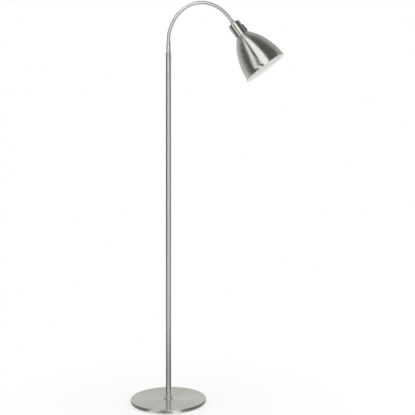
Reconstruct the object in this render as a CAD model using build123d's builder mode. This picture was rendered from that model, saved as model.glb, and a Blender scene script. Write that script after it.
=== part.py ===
"""A gooseneck reading floor lamp: a heavy round base, a slim pole, a flexible neck and a bell-shaped head.

Millimetres. Z points up. The origin is the centre of the base's underside, and the neck bends towards +X.
"""

import math
import os

from build123d import *

os.makedirs("parts", exist_ok=True)

# Clearances
press = 0.1  # on the radius, between pieces that are pressed, screwed or slipped together
swing = 0.3  # between pieces that turn against each other

# Base
base_radius = 125.0
base_height = 13.0
cover_wall = 0.8
cover_edge_radius = 2.0
cover_lift = 1.0  # from the floor to the cover's lower edge
pad_thickness = 2.0
pad_inset = 3.0  # from the cover's outside to the pad's edge
weight_inset = 0.6  # from the cover's inside to the weight's edge
weight_chamfer = 2.0
weight_bore_radius = 8.0

# Foot flange and its screws
flange_radius = 15.0
flange_height = 4.0
flange_edge = 1.2
flange_bore_radius = 5.0
spigot_length = 22.0  # of every plug that is pressed into a pole tube
screw_count = 3
screw_circle_radius = 11.0
screw_radius = 2.0
screw_head_radius = 4.0
screw_head_height = 2.2
screw_recess = 0.4  # from the weight's underside up to the screw heads
screw_tip_cover = 0.6  # flange metal left above each screw hole
screw_hole_slack = 0.2
socket_radius = 1.4  # to the corners of the screw's hexagon socket
socket_depth = 1.3

# Pole
pole_radius = 9.0
pole_wall = 1.0
section_count = 3
section_length = 381.0
joint_thread_radius = 6.0
joint_thread_length = 14.0
joint_thread_spare = 2.0  # hole depth past the stud's end
pole_bore_radius = 4.0  # through every plug, for the lead
cap_rim = 1.5  # straight part of the pole's top cap
cap_shoulder = 8.5  # rounded part of the pole's top cap

# Lead
lead_radius = 2.6
lead_height = 6.4  # centre of the lead above the floor, under the weight
lead_bend_radius = 10.0
lead_slack = 0.6  # from the lead to the channel that it lies in
gland_radius = 4.0
gland_lip_radius = 5.2
gland_lip_inside = 1.2
gland_lip_outside = 1.5
gland_lip_edge = 0.5

# Neck
neck_thread_radius = 5.0  # of the hollow screwed stubs on both ferrules
neck_thread_bore_radius = 3.3
lower_thread_length = 12.0
lower_ferrule_height = 27.0
lower_ferrule_foot_radius = 7.0
lower_ferrule_top_radius = 6.5
lower_grip = 18.0  # neck length inside the lower ferrule
lower_ferrule_edge = 0.3
upper_ferrule_height = 9.0
upper_ferrule_radius = 7.5
upper_thread_length = 11.0
upper_grip = 7.3  # neck length inside the upper ferrule
upper_ferrule_edge = 0.6
neck_radius = 5.75
neck_bore_radius = 3.0
rib_depth = 0.5
rib_pitch = 2.25
lower_stub = 14.0  # neck from the lower ferrule to the first bending point
upper_stub = 12.0  # neck from the last bending point to the upper ferrule
link_length = 27.0  # neck between two bending points
link_bends = (13.0, 10.5, 10.5, 12.5, 14.5, 15.5, 16.0, 15.5, 14.0, 12.0, 10.0)  # degrees, as set by hand
rib_circles = ((0.0, rib_depth), (0.2, 0.0), (0.65, 0.0), (0.85, rib_depth))  # share of the pitch, depth

# Collar and the bracket inside it
collar_radius = 21.25
collar_length = 49.0
collar_wall = 0.9
collar_edge_radius = 5.0
bracket_thickness = 1.0
bracket_width = 10.0
bracket_reach = 19.4  # from the axis to the outside of the bracket's legs
bracket_corner = 6.0
locknut_flats = 14.0
locknut_thickness = 3.0

# Switch
switch_place = 34.8  # from the collar's top to the middle of the switch
switch_length = 19.0
switch_width = 12.8
switch_depth = 13.2  # from the collar's outside to the back of the switch
switch_wall = 0.8
switch_back = 6.0  # solid part behind the rocker's well
window_slack = 0.15
frame_length = 23.0
frame_width = 16.0
frame_rise = 1.4  # above the collar's outside
frame_edge = 0.5
rocker_length = 15.6
rocker_width = 10.4
rocker_pivot_sink = 0.95  # from the collar's outside down to the rocker's axis
rocker_crest = 3.9  # from the rocker's axis to its raised ends
rocker_dip = 1.2
rocker_shoulder = 1.0
rocker_root = 3.0
rocker_root_width = 5.0
rocker_tilt = 8.0  # degrees either way from level
rocker_pin_radius = 1.0
rocker_pin_length = 0.9
rocker_edge = 0.5
tab_width = 4.8
tab_thickness = 0.8
tab_length = 5.0
tab_spacing = 10.0

# Lamp holder
holder_flange_radius = 16.0
holder_flange_height = 2.0
holder_radius = 14.0
holder_length = 34.5  # below its flange
holder_wall = 2.5
wiring_depth = 10.0
holder_floor = 6.0
shell_radius = 7.6
shell_wall = 0.5
shell_length = 16.0
shell_seat = 3.0  # from the holder's floor to the screw shell
socket_bore_radius = 8.4
contact_width = 4.0
contact_thickness = 0.5
contact_rise = 1.6
contact_length = 9.0
terminal_width = 4.0
terminal_height = 6.0
terminal_reach = 5.5
terminal_spread = 4.0
shade_ring_radius = 18.5
shade_ring_height = 5.0
shade_ring_grips = 16
shade_ring_grip_radius = 1.0

# Shade
shade_wall = 0.8
shade_length = 134.0
shade_top_radius = 23.6
shade_bell = ((43.7, 28.4), (61.8, 68.6))  # radius and depth of two points on the bell
bell_end_radius = 72.6
bell_end_depth = 121.5
bell_start_slope = 0.72  # radius gained for each millimetre of depth
bell_end_slope = 0.04
lip_radius = 76.8

# Bulb
bulb_radius = 22.5
bulb_length = 78.0
cap_radius = 6.8
cap_length = 17.0
cap_threads = 4
cap_thread_depth = 0.5
cap_tip_radius = 2.4
cap_tip_height = 2.0
glass_neck_radius = 10.0
glass_sleeve = 4.0  # of the glass's straight neck below the cap
glass_wall = 1.0
globe_turn = 40.0  # degrees below the globe's middle where its neck begins

# Wires inside the collar
core_radius = 0.9
core_spread = 1.25
sheath_end = 14.0
core_bend_radius = 2.4
core_fan = 10.0  # straight run of a core before it turns aside


def further(plane, length, bend):
    """The plane at the far end of an arc of this length and bend in degrees, square to the neck."""
    if bend == 0:
        return plane.offset(length)
    turn = math.radians(bend)
    radius = length / turn
    place = (radius * (1 - math.cos(turn)), 0, radius * math.sin(turn))
    return Plane(plane.location * Location(place, (0, bend, 0)))


def profile_plane(frame):
    """The half-plane of a turned piece: X is the radius and Y runs along the frame's axis."""
    return Plane(origin=frame.origin, x_dir=frame.x_dir, z_dir=-frame.y_dir)


def axis_of(frame):
    return Axis(frame.origin, frame.z_dir)


# Heights, and the frames that the neck's bends give
flange_top = base_height + flange_height
pole_top = flange_top + section_count * section_length
cap_top = pole_top + cap_rim + cap_shoulder
ferrule_top = cap_top + lower_ferrule_height
bending_points = [Plane.XY.offset(ferrule_top + lower_stub)]
for bend in link_bends:
    bending_points.append(further(bending_points[-1], link_length, bend))
head = bending_points[-1].offset(upper_stub + upper_ferrule_height)
plug_radius = pole_radius - pole_wall - press
dish_radius = neck_radius + swing


# ---------------------------------------------------------------- base

weight_top = base_height - cover_wall
gland_frame = Plane(origin=(0, base_radius, lead_height), x_dir=(1, 0, 0), z_dir=(0, 1, 0))
gland_inner_face = base_radius - math.sqrt((base_radius - cover_wall) ** 2 - gland_lip_radius**2)

with BuildPart() as base_cover:
    with BuildSketch(Plane.XY.offset(cover_lift)):
        Circle(base_radius)
    extrude(amount=base_height - cover_lift)
    fillet(base_cover.edges().sort_by(Axis.Z)[-1], cover_edge_radius)
    offset(amount=-cover_wall, openings=base_cover.faces().sort_by(Axis.Z)[0])
    with BuildSketch(Plane.XY.offset(weight_top)):
        Circle(flange_bore_radius)
        with PolarLocations(screw_circle_radius, screw_count, start_angle=-90):
            Circle(screw_radius + screw_hole_slack)
    extrude(amount=cover_wall, mode=Mode.SUBTRACT)
    with BuildSketch(gland_frame):
        Circle(gland_radius + press)
    extrude(amount=-gland_inner_face, mode=Mode.SUBTRACT)
base_cover.part.label = "base_cover"
export_step(base_cover.part, "parts/base_cover.step")

with BuildPart() as base_weight:
    with BuildSketch(Plane.XY.offset(pad_thickness)):
        Circle(base_radius - cover_wall - weight_inset)
    extrude(amount=weight_top - pad_thickness)
    chamfer(base_weight.edges().sort_by(Axis.Z)[-1], weight_chamfer)
    with BuildSketch(Plane.XY.offset(pad_thickness)):
        Circle(weight_bore_radius)
    extrude(amount=weight_top - pad_thickness, mode=Mode.SUBTRACT)
    with BuildSketch(Plane.XY.offset(pad_thickness)):
        with PolarLocations(screw_circle_radius, screw_count, start_angle=-90):
            Circle(screw_radius + screw_hole_slack)
    extrude(amount=weight_top - pad_thickness, mode=Mode.SUBTRACT)
    with Locations(Plane.XY.offset(pad_thickness)):
        with PolarLocations(screw_circle_radius, screw_count, start_angle=-90):
            Cylinder(
                screw_head_radius + screw_hole_slack,
                screw_recess,
                align=(Align.CENTER, Align.CENTER, Align.MIN),
                mode=Mode.SUBTRACT,
            )
    with Locations(Plane.XY.offset(pad_thickness + screw_recess)):
        with PolarLocations(screw_circle_radius, screw_count, start_angle=-90):
            Cone(
                screw_head_radius + screw_hole_slack,
                screw_radius + screw_hole_slack,
                screw_head_height,
                align=(Align.CENTER, Align.CENTER, Align.MIN),
                mode=Mode.SUBTRACT,
            )
    channel_roof = lead_height + lead_radius + lead_slack
    with BuildSketch(Plane.XY.offset(pad_thickness)):
        with Locations((0, base_radius / 2)):
            Rectangle(2 * (lead_radius + lead_slack), base_radius)
    extrude(amount=channel_roof - pad_thickness, mode=Mode.SUBTRACT)
    with BuildSketch(gland_frame):
        Circle(gland_lip_radius + lead_slack)
    extrude(amount=-(gland_inner_face + gland_lip_inside + lead_slack), mode=Mode.SUBTRACT)
base_weight.part.label = "base_weight"
export_step(base_weight.part, "parts/base_weight.step")

with BuildPart() as base_pad:
    with BuildSketch():
        Circle(base_radius - pad_inset)
    extrude(amount=pad_thickness)
base_pad.part.label = "base_pad"
export_step(base_pad.part, "parts/base_pad.step")

with BuildPart() as cord_gland:
    with BuildSketch(gland_frame):
        Circle(gland_radius)
    extrude(amount=-gland_inner_face)
    with BuildSketch(gland_frame):
        Circle(gland_lip_radius)
    extrude(amount=gland_lip_outside)
    with BuildSketch(gland_frame.offset(-gland_inner_face)):
        Circle(gland_lip_radius)
    extrude(amount=-gland_lip_inside)
    with BuildSketch(gland_frame.offset(gland_lip_outside)):
        Circle(lead_radius + press)
    extrude(amount=-(gland_lip_outside + gland_inner_face + gland_lip_inside), mode=Mode.SUBTRACT)
    fillet(cord_gland.edges().group_by(Axis.Y)[-1].sort_by(SortBy.LENGTH)[-1], gland_lip_edge)
cord_gland.part.label = "cord_gland"
export_step(cord_gland.part, "parts/cord_gland.step")

screw_start = pad_thickness + screw_recess
screw_hole_top = flange_top - screw_tip_cover

with BuildPart() as foot_flange:
    with BuildSketch(Plane.XY.offset(base_height)):
        Circle(flange_radius)
    extrude(amount=flange_height)
    fillet(foot_flange.edges().sort_by(Axis.Z)[-1], flange_edge)
    with BuildSketch(Plane.XY.offset(flange_top)):
        Circle(plug_radius)
    extrude(amount=spigot_length)
    with BuildSketch(Plane.XY.offset(base_height)):
        Circle(flange_bore_radius)
    extrude(amount=flange_height + spigot_length, mode=Mode.SUBTRACT)
    with BuildSketch(Plane.XY.offset(base_height)):
        with PolarLocations(screw_circle_radius, screw_count, start_angle=-90):
            Circle(screw_radius + press)
    extrude(amount=screw_hole_top - base_height, mode=Mode.SUBTRACT)
foot_flange.part.label = "foot_flange"
export_step(foot_flange.part, "parts/foot_flange.step")

with BuildPart() as flange_screws:
    with BuildSketch(Plane.XY.offset(screw_start)):
        with PolarLocations(screw_circle_radius, screw_count, start_angle=-90):
            Circle(screw_radius)
    extrude(amount=screw_hole_top - press - screw_start)
    with Locations(Plane.XY.offset(screw_start)):
        with PolarLocations(screw_circle_radius, screw_count, start_angle=-90):
            Cone(
                screw_head_radius,
                screw_radius,
                screw_head_height,
                align=(Align.CENTER, Align.CENTER, Align.MIN),
            )
    with BuildSketch(Plane.XY.offset(screw_start)):
        with PolarLocations(screw_circle_radius, screw_count, start_angle=-90):
            RegularPolygon(socket_radius, side_count=6)
    extrude(amount=socket_depth, mode=Mode.SUBTRACT)
flange_screws.part.label = "flange_screws"
export_step(flange_screws.part, "parts/flange_screws.step")


# ---------------------------------------------------------------- pole

for number in range(section_count):
    with BuildPart() as pole_section:
        with BuildSketch(Plane.XY.offset(flange_top + number * section_length)):
            Circle(pole_radius)
            Circle(pole_radius - pole_wall, mode=Mode.SUBTRACT)
        extrude(amount=section_length)
    pole_section.part.label = f"pole_section_{number + 1}"
    export_step(pole_section.part, f"parts/pole_section_{number + 1}.step")

seams = [Plane.XY.offset(flange_top + number * section_length) for number in range(1, section_count)]

with BuildPart() as pole_joint_studs:
    for seam in seams:
        with BuildSketch(seam):
            Circle(plug_radius)
            Circle(pole_bore_radius, mode=Mode.SUBTRACT)
        extrude(amount=-spigot_length)
        with BuildSketch(seam):
            Circle(joint_thread_radius)
            Circle(pole_bore_radius, mode=Mode.SUBTRACT)
        extrude(amount=joint_thread_length)
pole_joint_studs.part.label = "pole_joint_studs"
export_step(pole_joint_studs.part, "parts/pole_joint_studs.step")

with BuildPart() as pole_joint_bushes:
    for seam in seams:
        with BuildSketch(seam):
            Circle(plug_radius)
            Circle(pole_bore_radius, mode=Mode.SUBTRACT)
        extrude(amount=spigot_length)
        with BuildSketch(seam):
            Circle(joint_thread_radius + press)
        extrude(amount=joint_thread_length + joint_thread_spare, mode=Mode.SUBTRACT)
pole_joint_bushes.part.label = "pole_joint_bushes"
export_step(pole_joint_bushes.part, "parts/pole_joint_bushes.step")

with BuildPart() as pole_top_cap:
    with BuildSketch(Plane.XZ):
        with BuildLine():
            rim = Line((pole_radius, pole_top), (pole_radius, pole_top + cap_rim))
            shoulder = EllipticalCenterArc(
                (lower_ferrule_foot_radius, pole_top + cap_rim),
                pole_radius - lower_ferrule_foot_radius,
                cap_shoulder,
                arc_size=90,
            )
            Polyline(
                shoulder @ 1,
                (pole_bore_radius, cap_top),
                (pole_bore_radius, pole_top - spigot_length),
                (plug_radius, pole_top - spigot_length),
                (plug_radius, pole_top),
                rim @ 0,
            )
        make_face()
    revolve(axis=Axis.Z)
    with BuildSketch(Plane.XY.offset(cap_top)):
        Circle(neck_thread_radius + press)
    extrude(amount=-(lower_thread_length + joint_thread_spare), mode=Mode.SUBTRACT)
pole_top_cap.part.label = "pole_top_cap"
export_step(pole_top_cap.part, "parts/pole_top_cap.step")

lead_top = bending_points[0].origin.Z - dish_radius

with BuildPart() as lead_base_to_neck:
    lead_start = base_radius + gland_lip_outside
    with BuildLine():
        FilletPolyline(
            (0, lead_start, lead_height),
            (0, 0, lead_height),
            (0, 0, lead_top),
            radius=lead_bend_radius,
        )
    with BuildSketch(Plane(origin=(0, lead_start, lead_height), z_dir=(0, -1, 0))):
        Circle(lead_radius)
    sweep()
lead_base_to_neck.part.label = "lead_base_to_neck"
export_step(lead_base_to_neck.part, "parts/lead_base_to_neck.step")


# ---------------------------------------------------------------- neck

def neck_tube(start, length, bend, domed, dished):
    """A ribbed tube along an arc. A domed start turns in the dished end of the tube before it."""
    end = further(start, length, bend)
    ribs = round(length / rib_pitch)
    with BuildPart() as tube:
        for rib in range(ribs):
            for share, depth in rib_circles:
                way = (rib + share) / ribs
                with BuildSketch(further(start, length * way, bend * way)):
                    Circle(neck_radius - depth)
        with BuildSketch(end):
            Circle(neck_radius - rib_depth)
        loft(ruled=True)
        with BuildLine():
            if bend == 0:
                Line(start.origin, end.origin)
            else:
                ThreePointArc(start.origin, further(start, length / 2, bend / 2).origin, end.origin)
        with BuildSketch(start):
            Circle(neck_bore_radius)
        sweep(mode=Mode.SUBTRACT)
        if domed:
            with BuildSketch(profile_plane(start)):
                with BuildLine():
                    bore_turn = math.degrees(math.acos(neck_bore_radius / neck_radius))
                    dome = CenterArc((0, 0), neck_radius, 0, -bore_turn)
                    Polyline(dome @ 1, (neck_bore_radius, 0), dome @ 0)
                make_face()
            revolve(axis=axis_of(start))
        if dished:
            with Locations(end):
                Sphere(dish_radius, mode=Mode.SUBTRACT)
    return tube


def neck_lead(start, length, bend):
    """The lead inside one link. Both flat ends stay clear of the next link as it turns."""
    back = start.offset(-math.sqrt(neck_radius**2 - lead_radius**2))
    run = length - dish_radius
    turn = bend * run / length
    with BuildPart() as lead:
        with BuildLine():
            Line(back.origin, start.origin)
            ThreePointArc(
                start.origin,
                further(start, run / 2, turn / 2).origin,
                further(start, run, turn).origin,
            )
        with BuildSketch(back):
            Circle(lead_radius)
        sweep()
    return lead


with BuildPart() as neck_lower_ferrule:
    with BuildSketch(Plane.XY.offset(cap_top)):
        Circle(lower_ferrule_foot_radius)
    with BuildSketch(Plane.XY.offset(ferrule_top)):
        Circle(lower_ferrule_top_radius)
    loft()
    fillet(neck_lower_ferrule.edges().sort_by(Axis.Z)[-1], lower_ferrule_edge)
    with BuildSketch(Plane.XY.offset(cap_top)):
        Circle(neck_thread_radius)
    extrude(amount=-lower_thread_length)
    with BuildSketch(Plane.XY.offset(ferrule_top)):
        Circle(neck_radius + press)
    extrude(amount=-lower_grip, mode=Mode.SUBTRACT)
    with BuildSketch(Plane.XY.offset(ferrule_top)):
        Circle(neck_thread_bore_radius)
    extrude(amount=-(lower_ferrule_height + lower_thread_length), mode=Mode.SUBTRACT)
neck_lower_ferrule.part.label = "neck_lower_ferrule"
export_step(neck_lower_ferrule.part, "parts/neck_lower_ferrule.step")

grip_start = Plane.XY.offset(ferrule_top - lower_grip)
neck_link_00 = neck_tube(grip_start, lower_grip + lower_stub, 0, domed=False, dished=True)
neck_link_00.part.label = "neck_link_00"
export_step(neck_link_00.part, "parts/neck_link_00.step")

for number, bend in enumerate(link_bends, start=1):
    joint = bending_points[number - 1]
    neck_link = neck_tube(joint, link_length, bend, domed=True, dished=True)
    neck_link.part.label = f"neck_link_{number:02d}"
    export_step(neck_link.part, f"parts/neck_link_{number:02d}.step")
    link_lead = neck_lead(joint, link_length, bend)
    link_lead.part.label = f"neck_lead_{number:02d}"
    export_step(link_lead.part, f"parts/neck_lead_{number:02d}.step")

last = len(link_bends) + 1
neck_link_end = neck_tube(bending_points[-1], upper_stub + upper_grip, 0, domed=True, dished=False)
neck_link_end.part.label = f"neck_link_{last:02d}"
export_step(neck_link_end.part, f"parts/neck_link_{last:02d}.step")

with BuildPart() as neck_upper_ferrule:
    with BuildSketch(head.offset(-upper_ferrule_height)):
        Circle(upper_ferrule_radius)
    extrude(amount=upper_ferrule_height)
    fillet(neck_upper_ferrule.edges().filter_by(GeomType.CIRCLE), upper_ferrule_edge)
    with BuildSketch(head):
        Circle(neck_thread_radius)
    extrude(amount=upper_thread_length)
    with BuildSketch(head.offset(-upper_ferrule_height)):
        Circle(neck_radius + press)
    extrude(amount=upper_grip + press, mode=Mode.SUBTRACT)
    with BuildSketch(head.offset(-upper_ferrule_height)):
        Circle(neck_thread_bore_radius)
    extrude(amount=upper_ferrule_height + upper_thread_length, mode=Mode.SUBTRACT)
neck_upper_ferrule.part.label = "neck_upper_ferrule"
export_step(neck_upper_ferrule.part, "parts/neck_upper_ferrule.step")


# ---------------------------------------------------------------- collar

# The switch sits on the outside of the neck's bend. Z faces it and Y runs down the collar.
switch_face = Plane(origin=head.origin, x_dir=-head.y_dir, z_dir=-head.x_dir)
switch_middle = (0, switch_place)

with BuildPart() as collar:
    with BuildSketch(head):
        Circle(collar_radius)
    extrude(amount=collar_length)
    collar_top_edge = collar.edges().sort_by(axis_of(head))[0]
    fillet(collar_top_edge, collar_edge_radius)
    offset(amount=-collar_wall, openings=collar.faces().sort_by(axis_of(head))[-1])
    with BuildSketch(head):
        Circle(neck_thread_radius + press)
    extrude(amount=collar_wall, mode=Mode.SUBTRACT)
    with BuildSketch(switch_face.offset(collar_radius)):
        with Locations(switch_middle):
            Rectangle(switch_width + 2 * window_slack, switch_length + 2 * window_slack)
    extrude(amount=-switch_depth, mode=Mode.SUBTRACT)
collar.part.label = "collar"
export_step(collar.part, "parts/collar.step")

bracket_top = collar_wall
bracket_plate_radius = collar_radius - collar_wall - press

with BuildPart() as holder_bracket:
    with BuildSketch(Plane(origin=head.origin, x_dir=head.y_dir, z_dir=head.x_dir)):
        with BuildLine():
            strap = FilletPolyline(
                (-bracket_reach, collar_length),
                (-bracket_reach, bracket_top),
                (bracket_reach, bracket_top),
                (bracket_reach, collar_length),
                radius=bracket_corner,
            )
            Line(strap @ 1, strap @ 0)
        make_face()
        offset(amount=-bracket_thickness, mode=Mode.SUBTRACT)
    extrude(amount=bracket_width / 2, both=True)
    with BuildSketch(head.offset(collar_length)):
        Circle(bracket_plate_radius)
    extrude(amount=-bracket_thickness)
    with BuildSketch(head.offset(collar_length)):
        Circle(holder_radius + press)
    extrude(amount=-bracket_thickness, mode=Mode.SUBTRACT)
    with BuildSketch(head.offset(bracket_top)):
        Circle(neck_thread_radius + press)
    extrude(amount=bracket_thickness, mode=Mode.SUBTRACT)
holder_bracket.part.label = "holder_bracket"
export_step(holder_bracket.part, "parts/holder_bracket.step")

with BuildPart() as collar_locknut:
    with BuildSketch(head.offset(bracket_top + bracket_thickness)):
        RegularPolygon(locknut_flats / 2, side_count=6, major_radius=False)
        Circle(neck_thread_radius + press, mode=Mode.SUBTRACT)
    extrude(amount=locknut_thickness)
collar_locknut.part.label = "collar_locknut"
export_step(collar_locknut.part, "parts/collar_locknut.step")


# ---------------------------------------------------------------- switch

switch_floor = collar_radius - switch_depth
pivot_distance = collar_radius - rocker_pivot_sink
well_length = switch_length - 2 * switch_wall
well_width = switch_width - 2 * switch_wall
pivot = head.origin + head.z_dir * switch_place + switch_face.z_dir * pivot_distance

with BuildPart() as switch_body:
    with BuildSketch(switch_face.offset(collar_radius + frame_rise)):
        with Locations(switch_middle):
            Rectangle(frame_width, frame_length)
    extrude(amount=-(frame_rise + switch_depth))
    frame_face = switch_body.faces().sort_by(Axis(head.origin, switch_face.z_dir))[-1]
    chamfer(frame_face.edges(), frame_edge)
    with BuildSketch(head):
        Circle(collar_radius + press)
    extrude(amount=collar_length, mode=Mode.SUBTRACT)
    with BuildSketch(switch_face.offset(switch_floor)):
        with Locations(switch_middle):
            Rectangle(switch_width, switch_length)
    extrude(amount=switch_depth + press)
    with BuildSketch(switch_face.offset(switch_floor + switch_back)):
        with Locations(switch_middle):
            Rectangle(well_width, well_length)
    extrude(amount=switch_depth + frame_rise, mode=Mode.SUBTRACT)
    with BuildSketch(Plane(origin=pivot, z_dir=head.y_dir)):
        Circle(rocker_pin_radius + press)
    extrude(amount=rocker_width / 2 + rocker_pin_length + press, both=True, mode=Mode.SUBTRACT)
switch_body.part.label = "switch_body"
export_step(switch_body.part, "parts/switch_body.step")

level_rocker = Plane(origin=pivot, x_dir=switch_face.z_dir, z_dir=head.y_dir)
rocker_frame = Plane(level_rocker.location * Location((0, 0, 0), (0, 0, -rocker_tilt)))
half_rocker = rocker_length / 2

with BuildPart() as switch_rocker:
    with BuildSketch(rocker_frame) as rocker_side:
        with BuildLine():
            ThreePointArc(
                (rocker_crest, -half_rocker),
                (rocker_crest - rocker_dip, 0),
                (rocker_crest, half_rocker),
            )
            Polyline(
                (rocker_crest, half_rocker),
                (rocker_shoulder, half_rocker),
                (-rocker_root, rocker_root_width / 2),
                (-rocker_root, -rocker_root_width / 2),
                (rocker_shoulder, -half_rocker),
                (rocker_crest, -half_rocker),
            )
        make_face()
        fillet(rocker_side.vertices().sort_by(Axis.X)[-2:], rocker_edge)
    extrude(amount=rocker_width / 2, both=True)
    with BuildSketch(rocker_frame):
        Circle(rocker_pin_radius)
    extrude(amount=rocker_width / 2 + rocker_pin_length, both=True)
switch_rocker.part.label = "switch_rocker"
export_step(switch_rocker.part, "parts/switch_rocker.step")

tab_places = [switch_place - tab_spacing / 2, switch_place + tab_spacing / 2]

with BuildPart() as switch_terminals:
    with BuildSketch(switch_face.offset(switch_floor)):
        with Locations(*[(0, place) for place in tab_places]):
            Rectangle(tab_width, tab_thickness)
    extrude(amount=-tab_length)
switch_terminals.part.label = "switch_terminals"
export_step(switch_terminals.part, "parts/switch_terminals.step")


# ---------------------------------------------------------------- lamp holder

holder_seat = collar_length - bracket_thickness  # underside of the holder's flange
holder_top = holder_seat - holder_flange_height
floor_top = holder_top + wiring_depth
floor_bottom = floor_top + holder_floor
holder_end = holder_seat + holder_length
shell_start = floor_bottom + shell_seat

with BuildPart() as lamp_holder_body:
    with BuildSketch(head.offset(holder_top)):
        Circle(holder_flange_radius)
    extrude(amount=holder_flange_height)
    with BuildSketch(head.offset(holder_seat)):
        Circle(holder_radius)
    extrude(amount=holder_length)
    with BuildSketch(head.offset(holder_top)):
        Circle(holder_radius - holder_wall)
    extrude(amount=wiring_depth, mode=Mode.SUBTRACT)
    with BuildSketch(head.offset(floor_bottom)):
        Circle(socket_bore_radius)
    extrude(amount=holder_end - floor_bottom, mode=Mode.SUBTRACT)
    with BuildSketch(head.offset(floor_bottom)):
        Circle(shell_radius + press)
    extrude(amount=shell_start - floor_bottom, mode=Mode.SUBTRACT)
lamp_holder_body.part.label = "lamp_holder_body"
export_step(lamp_holder_body.part, "parts/lamp_holder_body.step")

with BuildPart() as lamp_holder_shell:
    with BuildSketch(head.offset(floor_bottom)):
        Circle(shell_radius)
        Circle(shell_radius - shell_wall, mode=Mode.SUBTRACT)
    extrude(amount=shell_seat + shell_length)
    with BuildSketch(head.offset(holder_end)):
        Circle(socket_bore_radius - press)
        Circle(shell_radius - shell_wall, mode=Mode.SUBTRACT)
    extrude(amount=-(holder_end - floor_bottom - shell_seat - shell_length))
lamp_holder_shell.part.label = "lamp_holder_shell"
export_step(lamp_holder_shell.part, "parts/lamp_holder_shell.step")

with BuildPart() as lamp_holder_contact:
    with BuildSketch(profile_plane(head)):
        with BuildLine():
            Polyline(
                (-contact_length / 2, floor_bottom),
                (0, floor_bottom),
                (contact_length / 2, floor_bottom + contact_rise),
                (contact_length / 2, floor_bottom + contact_rise + contact_thickness),
                (0, floor_bottom + contact_thickness),
                (-contact_length / 2, floor_bottom + contact_thickness),
                close=True,
            )
        make_face()
    extrude(amount=contact_width / 2, both=True)
lamp_holder_contact.part.label = "lamp_holder_contact"
export_step(lamp_holder_contact.part, "parts/lamp_holder_contact.step")

with BuildPart() as lamp_holder_terminals:
    with BuildSketch(head.offset(floor_top)):
        with Locations((terminal_reach, -terminal_spread), (terminal_reach, terminal_spread)):
            Rectangle(terminal_width, terminal_width)
    extrude(amount=-terminal_height)
lamp_holder_terminals.part.label = "lamp_holder_terminals"
export_step(lamp_holder_terminals.part, "parts/lamp_holder_terminals.step")

with BuildPart() as shade_ring:
    with BuildSketch(head.offset(collar_length + shade_wall)):
        Circle(shade_ring_radius)
        Circle(holder_radius + press, mode=Mode.SUBTRACT)
        with PolarLocations(shade_ring_radius, shade_ring_grips):
            Circle(shade_ring_grip_radius, mode=Mode.SUBTRACT)
    extrude(amount=shade_ring_height)
shade_ring.part.label = "shade_ring"
export_step(shade_ring.part, "parts/shade_ring.step")


# ---------------------------------------------------------------- shade

def inwards(curve, share):
    """The point one wall inside a curve of the shade's profile, at a share of its length."""
    way = curve % share
    return curve @ share + Vector(-way.Y, way.X) * shade_wall


shade_frame = head.offset(collar_length)
shade_profile = profile_plane(shade_frame)

with BuildPart() as shade:
    with BuildSketch(shade_profile):
        with BuildLine():
            bell = Spline(
                (shade_top_radius, 0),
                *shade_bell,
                (bell_end_radius, bell_end_depth),
                tangents=[(bell_start_slope, 1), (bell_end_slope, 1)],
            )
            lip = TangentArc(bell @ 1, (lip_radius, shade_length), tangent=bell % 1)
            inner_lip = TangentArc(inwards(lip, 0), inwards(lip, 1), tangent=bell % 1)
            inner_bell = Spline(
                (shade_top_radius - shade_wall / 2, shade_wall),
                *[inwards(bell, share) for share in (1 / 3, 2 / 3)],
                inner_lip @ 0,
                tangents=[bell % 0, bell % 1],
            )
            Line(lip @ 1, inner_lip @ 1)
            Polyline(
                bell @ 0,
                (holder_radius + press, 0),
                (holder_radius + press, shade_wall),
                inner_bell @ 0,
            )
        make_face()
    revolve(axis=axis_of(head))
shade.part.label = "shade"
export_step(shade.part, "parts/shade.step")


# ---------------------------------------------------------------- bulb

bulb_tip = floor_bottom + contact_rise + contact_thickness
cap_end = bulb_tip + cap_tip_height + cap_length
bulb_frame = head.offset(bulb_tip)
globe_centre = bulb_length - bulb_radius
thread_pitch = (cap_length - cap_tip_height) / cap_threads

with BuildPart() as bulb_cap:
    with BuildSketch(profile_plane(bulb_frame)):
        with BuildLine():
            thread = [(cap_radius - cap_thread_depth, cap_tip_height)]
            for turn in range(cap_threads):
                thread.append((cap_radius, cap_tip_height + (turn + 0.5) * thread_pitch))
                thread.append((cap_radius - cap_thread_depth, cap_tip_height + (turn + 1) * thread_pitch))
            Polyline(
                (0, 0),
                (cap_tip_radius, 0),
                *thread,
                (cap_radius - cap_thread_depth, cap_tip_height + cap_length),
                (0, cap_tip_height + cap_length),
                close=True,
            )
        make_face()
    revolve(axis=axis_of(head))
bulb_cap.part.label = "bulb_cap"
export_step(bulb_cap.part, "parts/bulb_cap.step")

glass_start = cap_tip_height + cap_length

with BuildPart() as bulb_glass:
    with BuildSketch(profile_plane(bulb_frame)):
        with BuildLine():
            globe_side = (
                bulb_radius * math.cos(math.radians(globe_turn)),
                globe_centre - bulb_radius * math.sin(math.radians(globe_turn)),
            )
            globe = CenterArc((0, globe_centre), bulb_radius, -globe_turn, 90 + globe_turn)
            neck_line = Line((cap_radius, glass_start), (glass_neck_radius, glass_start + glass_sleeve))
            TangentArc(globe_side, neck_line @ 1, tangent=-(globe % 0))
            Polyline(globe @ 1, (0, glass_start), neck_line @ 0)
        make_face()
    revolve(axis=axis_of(head))
    offset(amount=-glass_wall, openings=bulb_glass.faces().sort_by(axis_of(head))[0])
bulb_glass.part.label = "bulb_glass"
export_step(bulb_glass.part, "parts/bulb_glass.step")


# ---------------------------------------------------------------- wires in the head

lead_back = bending_points[-1].offset(-math.sqrt(neck_radius**2 - lead_radius**2))

with BuildPart() as head_lead:
    with BuildSketch(lead_back):
        Circle(lead_radius)
    extrude(amount=(head.offset(sheath_end).origin - lead_back.origin).length)
head_lead.part.label = "head_lead"
export_step(head_lead.part, "parts/head_lead.step")


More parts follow.
